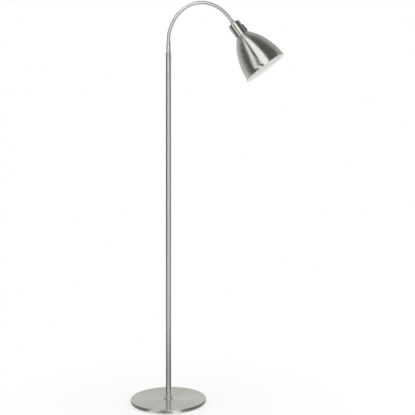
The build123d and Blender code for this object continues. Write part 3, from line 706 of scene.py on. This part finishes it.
class LAMP_OT_collar(Operator):
    """Drawn metal cup of the collar, with its rounded top edge and the window for the switch"""

    bl_idname = "lamp.collar"
    bl_label = "Collar"

    def execute(self, context):
        scene, head = context.scene, context.scene.lamp_head
        axes = head_axes(scene)
        radius, length, sheet = head.collar_radius, head.collar_length, head.collar_wall
        inner, bore = radius - sheet, 5.1 * mm
        window_width, window_length = 13.1 * mm, 19.3 * mm
        low, high = head.switch_place - window_length / 2, head.switch_place + window_length / 2
        outline = rounded([
            (bore, sheet, 0),
            (bore, 0, 0.1 * mm),
            (radius, 0, head.collar_edge),
            (radius, low, 0),
            (radius, high, 0),
            (radius, length, 0.3 * mm),
            (inner, length, 0.3 * mm),
            (inner, high, 0),
            (inner, low, 0),
            (inner, sheet, head.collar_edge - sheet),
        ], steps=9)
        half = math.asin(window_width / 2 / radius) / full_turn
        across, rest = 8, 88
        turn = np.concatenate([
            np.linspace(-half, half, across + 1), np.linspace(half, 1 - half, rest + 1)[1:]
        ])
        shell = turned(axes, outline, turn)
        columns = across + rest

        def row(r, h):
            return int(np.argmin(np.abs(outline - (r, h)).sum(axis=1)))

        # where the window's two edges lie in the outline, outside and inside
        outer_low, outer_high = row(radius, low), row(radius, high)
        inner_high, inner_low = row(inner, high), row(inner, low)
        rows_of, columns_of = shell.faces[:, 0] // columns, shell.faces[:, 0] % columns
        outside = (rows_of >= outer_low) & (rows_of < outer_high)
        inside = (rows_of >= inner_high) & (rows_of < inner_low)
        kept = ~((outside | inside) & (columns_of < across))
        steps = np.arange(across)
        edges = [
            np.stack([out + steps, out + steps + 1, back + steps + 1, back + steps], axis=1)
            for out, back in np.array([(outer_low, inner_low), (outer_high, inner_high)]) * columns
        ]
        corners = np.array([outer_low, outer_high, inner_high, inner_low]) * columns
        extra = np.concatenate([*edges, [corners, corners + across]])
        shell = Shell(
            shell.points,
            np.concatenate([shell.faces[kept], extra]),
            np.concatenate([shell.uv[kept], np.zeros((len(extra), 4, 2))]),
            shell.turning,
            np.concatenate([shell.finish[kept], np.zeros(len(extra), int)]),
        )
        nickel = finish(scene, "brushed nickel")
        piece("collar_cup", [shell], "head", [nickel], ["collar"], merge=True)
        return {"FINISHED"}


def rounded_frame(half_width, half_length, rounding, corner=6, straight=8):
    """Points round a rectangle with rounded corners: four quarter arcs joined by straight runs."""
    share = np.linspace(0, math.pi / 2, corner)
    way = np.linspace(0, 1, straight + 2)[1:-1, None]
    side = np.array([half_width, half_length]) - rounding
    signs = np.array([(1, 1), (-1, 1), (-1, -1), (1, -1), (1, 1)])

    def arc(quarter, turn):
        turn = turn + quarter * math.pi / 2
        return signs[quarter] * side + rounding * np.stack([np.cos(turn), np.sin(turn)], axis=1)

    loops = []
    for quarter in range(4):
        here, ahead = arc(quarter, share), arc(quarter + 1, share[:1])
        loops += [here, here[-1] + way * (ahead - here[-1])]
    return np.concatenate(loops)


class LAMP_OT_switch(Operator):
    """Rocker switch: its bezel, which hugs the round collar, the well in it, and the rocker"""

    bl_idname = "lamp.switch"
    bl_label = "Switch"

    def execute(self, context):
        scene, head = context.scene, context.scene.lamp_head
        axes = head_axes(scene)
        black = finish(scene, "switch plastic")
        middle = axes.origin + head.switch_place * axes.z
        radius = head.collar_radius
        proud, deep, well = 1.8, -13.2, -7.2  # the bezel's top, the box's bottom and the well's floor
        # in mm: half width, half length, corner rounding, and height over the collar's radius, or nan
        # where the loop lies on the collar's round
        rows = np.array([
            (0.01, 0.01, 0.005, deep),
            (6.1, 9.2, 0.5, deep),
            (6.4, 9.5, 0.8, deep + 0.3),
            (6.4, 9.5, 0.8, -1.6),
            (6.4, 9.5, 0.8, np.nan),
            (8.8, 14.0, 1.6, np.nan),
            (8.8, 14.0, 1.6, proud - 0.75),
            (8.7, 13.9, 1.55, proud - 0.4),
            (8.5, 13.7, 1.4, proud - 0.14),
            (8.2, 13.4, 1.2, proud),
            (7.9, 13.1, 1.1, proud),
            (6.0, 9.1, 0.7, proud),
            (5.8, 8.9, 0.6, proud - 0.03),
            (5.65, 8.75, 0.5, proud - 0.15),
            (5.6, 8.7, 0.4, proud - 0.4),
            (5.6, 8.7, 0.4, well),
            (0.01, 0.01, 0.005, well),
        ]) * mm
        place = []
        for half_width, half_length, rounding, height in rows:
            loop = rounded_frame(half_width, half_length, rounding)
            on_round = np.sqrt((radius + 0.1 * mm) ** 2 - loop[:, :1] ** 2)
            away = on_round if np.isnan(height) else radius + height
            place.append(middle + away * axes.x + loop[:, :1] * axes.y + loop[:, 1:] * axes.z)
        place = np.stack(place)
        turn = np.arange(place.shape[1] + 1) / place.shape[1]
        run = np.concatenate([[0], np.cumsum(np.linalg.norm(np.diff(place[:, 0], axis=0), axis=1))])
        body = self.closed(place, run, turn)
        piece("switch_bezel", [body], "head", [black], ["switch_body"], sharp=40)

        tilt = head.rocker_tilt
        pivot = middle + (radius - 0.95 * mm) * axes.x
        out = math.cos(tilt) * axes.x - math.sin(tilt) * axes.z
        down = math.sin(tilt) * axes.x + math.cos(tilt) * axes.z
        reach, low, high = 7.8, 3.2, 4.7  # mm from the pivot: to each end, to the dip and to the crests
        hump = np.linspace(-reach, reach, 33)[1:-1]
        crest = high - (high - low) * np.cos(hump / reach * math.pi / 2) ** 2
        side = rounded([
            (-3.0, -2.5, 0.3), (1.0, -reach, 0.4), (high, -reach, 0.55), (low, 0, 0),
            (high, reach, 0.55), (1.0, reach, 0.4), (-3.0, 2.5, 0.3),
        ], steps=5) * mm
        on_crest = np.stack([crest, hump], axis=1)[2:-2] * mm
        first = np.flatnonzero(side[:, 1] < -7 * mm)[-1] + 1
        last = np.flatnonzero(side[:, 1] > 7 * mm)[0]
        side = np.concatenate([side[:first], on_crest, side[last:]])
        centre = np.array([1.0, 0]) * mm
        ends = np.array([(5.2, 0.02), (5.2, 0.93), (5.1, 0.965), (4.95, 0.988), (4.7, 1.0)])
        across, shrink = np.concatenate([ends * (-1, 1), ends[::-1]]).T
        across = across * mm
        section = centre + shrink[:, None, None] * (side - centre)
        place = (
            pivot
            + section[..., :1] * out
            + section[..., 1:] * down
            + across[:, None, None] * axes.y
        )
        turn = np.arange(len(side) + 1) / len(side)
        rocker = self.closed(place, run_along(np.stack([across, 0 * across], 1), ring=False), turn)
        pin = rounded([(1.0, -6.1, 0.2), (1.0, 6.1, 0.2), (0.01, 6.1, 0), (0.01, -6.1, 0)]) * mm
        pins = turned(Axes(pivot, out, np.cross(axes.y, out), axes.y), pin, 24)
        parts = [rocker, pins]
        piece("rocker_cap", parts, "rocker", [black], ["switch_rocker"], sharp=40)
        return {"FINISHED"}

    @staticmethod
    def closed(place, run, turn):
        """A shell of rings whose first and last ring are tiny, each closed by a fan to its middle."""
        rows, columns = place.shape[:2]
        shell = skin(place, run, turn, ring=False)
        points = np.concatenate([shell.points, [place[0].mean(0), place[-1].mean(0)]])
        here = np.arange(columns)
        after = (here + 1) % columns
        first, last = np.full(columns, rows * columns), np.full(columns, rows * columns + 1)
        base = (rows - 1) * columns
        fans = np.concatenate([
            np.stack([first, after, here, first], 1),
            np.stack([last, base + here, base + after, last], 1),
        ])
        return Shell(
            points,
            np.concatenate([shell.faces, fans]),
            np.concatenate([shell.uv, np.zeros((len(fans), 4, 2))]),
            np.concatenate([shell.turning, shell.turning[[0, -1]]]),
            np.concatenate([shell.finish, np.zeros(len(fans), int)]),
        )


def cubic(share, start, leaving, end, reaching):
    """The cubic between two points with the slopes leaving and reaching, at shares of its way."""
    return (
        (2 * share**3 - 3 * share**2 + 1) * start
        + (share**3 - 2 * share**2 + share) * leaving
        + (3 * share**2 - 2 * share**3) * end
        + (share**3 - share**2) * reaching
    )


def spline(points, first, last, samples):
    """A smooth curve through points with set directions at its ends.

    Each stretch is the cubic of its two ends and their slopes, over the distance between its points.
    The inner slopes solve the equations that make the curvature run on through every point.
    """
    points = np.asarray(points, float)
    gaps = np.linalg.norm(np.diff(points, axis=0), axis=1)
    steps = np.diff(points, axis=0) / gaps[:, None]
    count = len(points)
    matrix, wanted = np.eye(count), np.zeros((count, 2))
    wanted[0], wanted[-1] = first / np.linalg.norm(first), last / np.linalg.norm(last)
    for k in range(1, count - 1):
        matrix[k, k - 1 : k + 2] = gaps[k], 2 * (gaps[k - 1] + gaps[k]), gaps[k - 1]
        wanted[k] = 3 * (gaps[k] * steps[k - 1] + gaps[k - 1] * steps[k])
    slopes = np.linalg.solve(matrix, wanted)
    knots = np.concatenate([[0], np.cumsum(gaps)])
    way = np.linspace(0, knots[-1], samples)
    k = np.clip(np.searchsorted(knots, way, side="right") - 1, 0, count - 2)
    gap = gaps[k][:, None]
    share = (way - knots[k])[:, None] / gap
    return cubic(share, points[k], gap * slopes[k], points[k + 1], gap * slopes[k + 1])


class LAMP_OT_shade(Operator):
    """Spun bell of the shade with its flared and rolled lip, nickel outside and enamel inside"""

    bl_idname = "lamp.shade"
    bl_label = "Shade"

    def execute(self, context):
        scene, head = context.scene, context.scene.lamp_head
        axes = head_axes(scene)
        axes = axes._replace(origin=axes.origin + head.collar_length * axes.z)
        wall = head.shade_wall
        bell_end = np.array([72.6, 121.5]) * mm
        bell = spline(
            [(head.shade_top, 0), (43.7 * mm, 28.4 * mm), (61.8 * mm, 68.6 * mm), bell_end],
            (0.72, 1), (0.04, 1), 60,
        )
        lip_end = np.array([head.lip_radius, head.shade_length])
        ahead = np.array([0.04, 1]) / math.hypot(0.04, 1)
        normal = np.array([ahead[1], -ahead[0]])
        chord = lip_end - bell_end
        bow = chord @ chord / (2 * chord @ normal)
        centre = bell_end + bow * normal
        whole = 2 * math.asin(np.linalg.norm(chord) / (2 * bow))
        sweep = np.linspace(0, whole, 16)[1:, None]
        lip = centre + bow * (-np.cos(sweep) * normal + np.sin(sweep) * ahead)
        outer = np.concatenate([bell, lip])
        along = np.gradient(outer, axis=0)
        along /= np.linalg.norm(along, axis=1)[:, None]
        normals = np.stack([-along[:, 1], along[:, 0]], axis=1)
        inner = outer + wall * normals
        keep = inner[:, 1] > wall
        inner = np.concatenate([[(head.shade_top - wall / 2, wall)], inner[keep]])
        roll = np.linspace(0, math.pi, 7)[1:-1, None]
        edge_middle = (outer[-1] + inner[-1]) / 2
        edge = edge_middle + wall / 2 * (np.sin(roll) * along[-1] - np.cos(roll) * normals[-1])
        bore = 14.1 * mm
        outline = np.concatenate([[(bore, wall), (bore, 0)], outer, edge, inner[::-1]])
        marks = np.zeros(len(outline), int)
        marks[2 + len(outer) :] = 1
        shell = turned(axes, outline, 200, finish=marks)
        piece(
            "shade_bell", [shell], "head",
            [finish(scene, "brushed nickel shade"), finish(scene, "white enamel")],
            ["shade"], sharp=40,
        )
        return {"FINISHED"}


class LAMP_OT_bulb(Operator):
    """Lamp holder with its threaded skirt, the fluted ring that clamps the shade, and the opal bulb"""

    bl_idname = "lamp.bulb"
    bl_label = "Holder and bulb"

    def execute(self, context):
        scene, head = context.scene, context.scene.lamp_head
        axes = head_axes(scene)
        plastic = finish(scene, "holder plastic")
        pitch, depth = 2.875, 0.45  # of the skirt's thread, in mm
        threads = np.linspace(56.5, 79.5, 73)
        ridge = 14 - depth * (0.5 - 0.5 * np.cos(full_turn * (threads - threads[0]) / pitch))
        outline = np.concatenate([
            rounded([(11.5, 46, 0.2), (16, 46, 0.4), (16, 48, 0.3), (14, 48, 0)])[:-1],
            [(14, 48), (14, 55.8)],
            np.stack([ridge, threads], axis=1),
            [(14, 80.2), (14, 81.9), (13.8, 82.35), (13.4, 82.5), (8.8, 82.5), (8.4, 82.1)],
            [(8.4, 62), (0.01, 62), (0.01, 56), (11.5, 56)],
        ]) * mm
        turned_piece(
            "holder_skirt", axes, outline, 96, "head", plastic, "lamp_holder_body"
        )
        start = head.collar_length + head.shade_wall
        bore, outside, ring_end = 14.1 * mm, 18.5 * mm, start + 5 * mm
        ring = rounded([
            (bore, start, 0.3 * mm),
            (outside, start, 0.4 * mm),
            (outside, ring_end, 0.7 * mm),
            (bore, ring_end, 0.5 * mm),
        ])
        fluted = turned(axes, ring, 160, flutes=(16, 0.9 * mm, 17 * mm))
        piece(
            "shade_clamp_ring", [fluted], "head", [plastic], ["shade_ring"], sharp=40
        )
        tip = 64.1 * mm
        middle = tip + head.bulb_length - head.bulb_radius
        glass_start = tip + 19 * mm
        low = math.radians(40)
        sweep = np.linspace(-low, math.pi / 2, 48)
        globe = (0, middle) + head.bulb_radius * np.stack([np.cos(sweep), np.sin(sweep)], axis=1)
        globe[-1, 0] = 0
        neck_end = np.array([10 * mm, glass_start + 4 * mm])
        way = np.linalg.norm(globe[0] - neck_end)
        throat = cubic(
            np.linspace(0, 1, 14)[:-1, None],
            neck_end, way * np.array([0.35, 0.93]),
            globe[0], way * np.array([math.sin(low), math.cos(low)]),
        )
        outline = np.concatenate([[(0, glass_start), (6.8 * mm, glass_start)], throat, globe])
        glass, opal = turned(axes, outline, 96, ring=False), finish(scene, "opal glass")
        piece("bulb_globe", [glass], "head", [opal], ["bulb_glass"], merge=True, sharp=50)
        return {"FINISHED"}


# The screen's panels: the turn round the lamp in degrees, from the front towards +X, and how light
# it is there. They are beside the base, beside the pole, round the head, and on the floor.
back_left, back_right = ((-180, 0.62), (-150, 0.56)), ((150, 0.56), (180, 0.62))
white_left, white_right = ((-42, 1.0), (-26, 1.0)), ((20, 1.1), (50, 0.75))
left_wall = (
    *back_left, (-114, 0.36), (-104, 0.11), (-50, 0.09), *white_left, (-17, 0.05), (-5, 0.04), (3, 1.05)
)
low_panels = (
    *back_left, (-112, 0.42), (-100, 0.28), (-50, 0.22), *white_left, (-17, 0.12), (-5, 0.10),
    (3, 1.05), *white_right, (62, 0.24), (96, 0.28), (112, 0.42), *back_right,
)
wall_panels = (*left_wall, *white_right, (62, 0.10), (96, 0.14), (112, 0.36), *back_right)
dome_panels = (
    *left_wall, (31, 1.1), (46, 0.09), (84, 0.11), (98, 0.36), (130, 0.42), *back_right,
)
floor_panels = (
    (-180, 0.58), (-120, 0.36), (-95, 0.16), (-36, 0.12), (-28, 0.62), (-22, 0.62), (-14, 0.36),
    (0, 0.22), (7, 0.26), (14, 0.85), (20, 0.85), (28, 0.12), (120, 0.10), (150, 0.30), (180, 0.58),
)

carried_finishes = {
    "cast weight": ("base_weight",),
    "foam": ("base_pad",),
    "gland rubber": ("cord_gland",),
    "zinc": (
        "flange_screws", "pole_joint_studs", "pole_joint_bushes", "collar_locknut", "holder_bracket",
    ),
    "lead sheath": ("lead_base_to_neck", "neck_lead", "head_lead"),
    "core insulation": ("head_cores",),
    "brass": ("switch_terminals", "lamp_holder_contact", "lamp_holder_terminals"),
    "cap metal": ("lamp_holder_shell", "bulb_cap"),
}


class LAMP_OT_carried(Operator):
    """Finishes of the pieces that stay as the CAD frame has them"""

    bl_idname = "lamp.carried"
    bl_label = "Carried pieces"

    def execute(self, context):
        finish_of = {name: kind for kind, names in carried_finishes.items() for name in names}
        for name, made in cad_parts.items():
            if made.hide_render:
                continue
            kind = finish_of[name if name in finish_of else name.rstrip("0123456789_")]
            made.data.materials.clear()
            made.data.materials.append(finish(context.scene, kind))
        return {"FINISHED"}


class LAMP_OT_studio(Operator):
    """Pale floor, soft light from above and both sides, white surroundings and the camera"""

    bl_idname = "lamp.studio"
    bl_label = "Studio"

    def execute(self, context):
        scene = context.scene
        self.floor(scene)
        self.surroundings(scene)
        self.screen()
        self.softbox(scene, "key_light", (-1.6, -1.9, 2.3), (0, 0, 0.7), 2.0, 5)
        self.softbox(scene, "fill_light", (2.2, -1.2, 1.6), (0.1, 0, 0.8), 1.6, 4)
        view = bpy.data.cameras.new("view")
        camera = bpy.data.objects.new("view", view)
        scene.collection.objects.link(camera)
        camera.location = (0.1307, -2.03, 0.655)
        camera.rotation_euler = (math.pi / 2, 0, 0)
        view.sensor_width = 36
        view.lens = 52.6
        view.shift_y = -0.0036
        scene.camera = camera
        scene.view_settings.view_transform = "Standard"
        return {"FINISHED"}

    def floor(self, scene):
        """A flat disc. Away from the lamp it fades to plain white, and near it it takes the shadow."""
        made, tree, shader = material("studio floor")
        place = node(tree, "ShaderNodeTexCoord").outputs["Object"]
        away = node(tree, "ShaderNodeVectorMath", {0: place}, operation="LENGTH").outputs["Value"]
        fade = ranged(tree, away, (0.15, 0.6), (0.6, 1.0))
        share = maths(tree, "MULTIPLY", plainly_seen(tree), fade)
        speck = grain(tree, place, 300, 3.0)
        pale = tuple(scene.lamp_colours.floor)
        tint = blend_colours(tree, span(tree, speck, 0, 1), tuple(0.98 * c for c in pale), pale)
        feed(tree, shader, {"Base Color": tint, "Roughness": 0.9})
        white = node(tree, "ShaderNodeEmission", {"Color": (1, 1, 1, 1), "Strength": 1.0})
        layers = {0: share, 1: shader.outputs["BSDF"], 2: white.outputs["Emission"]}
        mixed = node(tree, "ShaderNodeMixShader", layers)
        feed(tree, tree.nodes["Material Output"], {"Surface": mixed.outputs["Shader"]})
        outline = np.array([(0.0, 0.0), (0.3, 0), (1, 0), (3, 0), (9, 0), (9, -0.02), (0, -0.02)])
        disc = turned(upright, outline, 64, ring=False)
        ground = piece("studio_floor", [disc], None, [made], merge=True, sharp=30)

    def surroundings(self, scene):
        """A white world, a little dimmer as a light than it looks."""
        world = bpy.data.worlds.new("studio")
        world.use_nodes = True
        scene.world = world
        tree = world.node_tree
        strength = ranged(tree, plainly_seen(tree), given=(0.97, 1.0))
        feed(tree, tree.nodes["Background"], {"Color": (1, 1, 1, 1), "Strength": strength})

    def screen(self):
        """A round tent that only the gloss of the lamp sees, white with soft grey panels.

        Its outline is a flat ring on the floor, an upright wall and a quarter ellipse up to its middle.
        A point's panel is found from its turn round the lamp, from the front towards +X. Above the
        neck's foot the panels lean towards the pole, half a step sideways for each step up."""
        made, tree, _ = material("studio screen")
        place = node(tree, "ShaderNodeTexCoord").outputs["Object"]
        axes = node(tree, "ShaderNodeSeparateXYZ", {"Vector": place}).outputs
        front = maths(tree, "MULTIPLY", axes["Y"], -1.0)
        above = maths(tree, "ADD", axes["Z"], -1.2, clamp=True)
        leaning = maths(tree, "MULTIPLY_ADD", above, 0.5, axes["X"])
        turn = maths(tree, "ARCTAN2", leaning, front)
        share = ranged(tree, turn, (-math.pi, math.pi))
        colour_here = None
        levels = ((floor_panels, None), (low_panels, 0.01), (wall_panels, 0.3), (dome_panels, 1.15))
        for panels, from_height in levels:
            ramp = node(tree, "ShaderNodeValToRGB", {"Fac": share})
            ramp.color_ramp.interpolation = "EASE"
            stops = ramp.color_ramp.elements
            for stop, (degrees, level) in enumerate(panels):
                at = (degrees + 180) / 360
                element = stops[stop] if stop < 2 else stops.new(at)
                element.position = at
                element.color = (level, level, level, 1)
            if colour_here is None:
                colour_here = ramp.outputs["Color"]
                continue
            raised = ranged(tree, axes["Z"], (from_height, 1.1 * from_height))
            colour_here = blend_colours(tree, raised, colour_here, ramp.outputs["Color"])
        light = node(tree, "ShaderNodeEmission", {"Color": colour_here, "Strength": 1.0})
        feed(tree, tree.nodes["Material Output"], {"Surface": light.outputs["Emission"]})
        made.cycles.emission_sampling = "NONE"
        rise = np.linspace(0, math.pi / 2, 13)[:, None]
        wall, spring, hole = 0.85, 1.3, 0.131  # metres: its radius, its dome's start, its hole
        inside = np.concatenate([
            [(hole, 0.6 * mm), (wall, 0.6 * mm), (wall, 0.02)],
            np.hstack([wall * np.cos(rise), spring * (1 + np.sin(rise))]),
        ])
        inside[-1, 0] = 0
        outside = 1.01 * inside[::-1]
        outside[-3:] = [(0.87, 0.02), (0.87, 0.3 * mm), (hole, 0.3 * mm)]
        tent = turned(upright, np.concatenate([inside, outside]), 96)
        panel = piece("studio_screen", [tent], None, [made], merge=True)
        for ray in ("camera", "diffuse", "transmission", "volume_scatter", "shadow"):
            setattr(panel, f"visible_{ray}", False)

    def softbox(self, scene, name, place, target, size, power):
        lamp = bpy.data.lights.new(name, "AREA")
        lamp.shape = "SQUARE"
        lamp.size = size
        lamp.energy = power
        box = bpy.data.objects.new(name, lamp)
        box.visible_glossy = False
        scene.collection.objects.link(box)
        box.location = place
        ahead = np.subtract(target, place)
        box.rotation_euler = (
            math.acos(-ahead[2] / np.linalg.norm(ahead)),
            0,
            math.atan2(-ahead[0], ahead[1]),
        )


class LAMP_PT_panel(Panel):
    """Sizes and colours of the lamp, and a button for each of its pieces"""

    bl_idname = "LAMP_PT_panel"
    bl_label = "Gooseneck Floor Lamp"
    bl_space_type = "VIEW_3D"
    bl_region_type = "UI"
    bl_category = "Lamp"

    def draw(self, context):
        for title, (group, kind) in setting_groups.items():
            box = self.layout.box()
            box.label(text=title)
            for key in kind.__annotations__:
                box.prop(getattr(context.scene, group), key)
        for kind in makers:
            self.layout.operator(kind.bl_idname)


setting_groups = {
    "Base": ("lamp_base", BaseSizes),
    "Pole": ("lamp_pole", PoleSizes),
    "Neck": ("lamp_neck", NeckSizes),
    "Head": ("lamp_head", HeadSizes),
    "Colours": ("lamp_colours", LampColours),
}
makers = (
    LAMP_OT_base,
    LAMP_OT_pole,
    LAMP_OT_neck,
    LAMP_OT_collar,
    LAMP_OT_switch,
    LAMP_OT_shade,
    LAMP_OT_bulb,
    LAMP_OT_carried,
    LAMP_OT_studio,
)


def register():
    for group, kind in setting_groups.values():
        bpy.utils.register_class(kind)
        setattr(bpy.types.Scene, group, PointerProperty(type=kind))
    for kind in (*makers, LAMP_PT_panel):
        bpy.utils.register_class(kind)


def unregister():
    for kind in (LAMP_PT_panel, *reversed(makers)):
        bpy.utils.unregister_class(kind)
    for group, kind in reversed(setting_groups.values()):
        delattr(bpy.types.Scene, group)
        bpy.utils.unregister_class(kind)


def main():
    register()
    bpy.ops.lamp.base()
    bpy.ops.lamp.pole()
    bpy.ops.lamp.neck()
    bpy.ops.lamp.collar()
    bpy.ops.lamp.switch()
    bpy.ops.lamp.shade()
    bpy.ops.lamp.bulb()
    bpy.ops.lamp.carried()
    bpy.ops.lamp.studio()


if __name__ == "__main__":
    main()
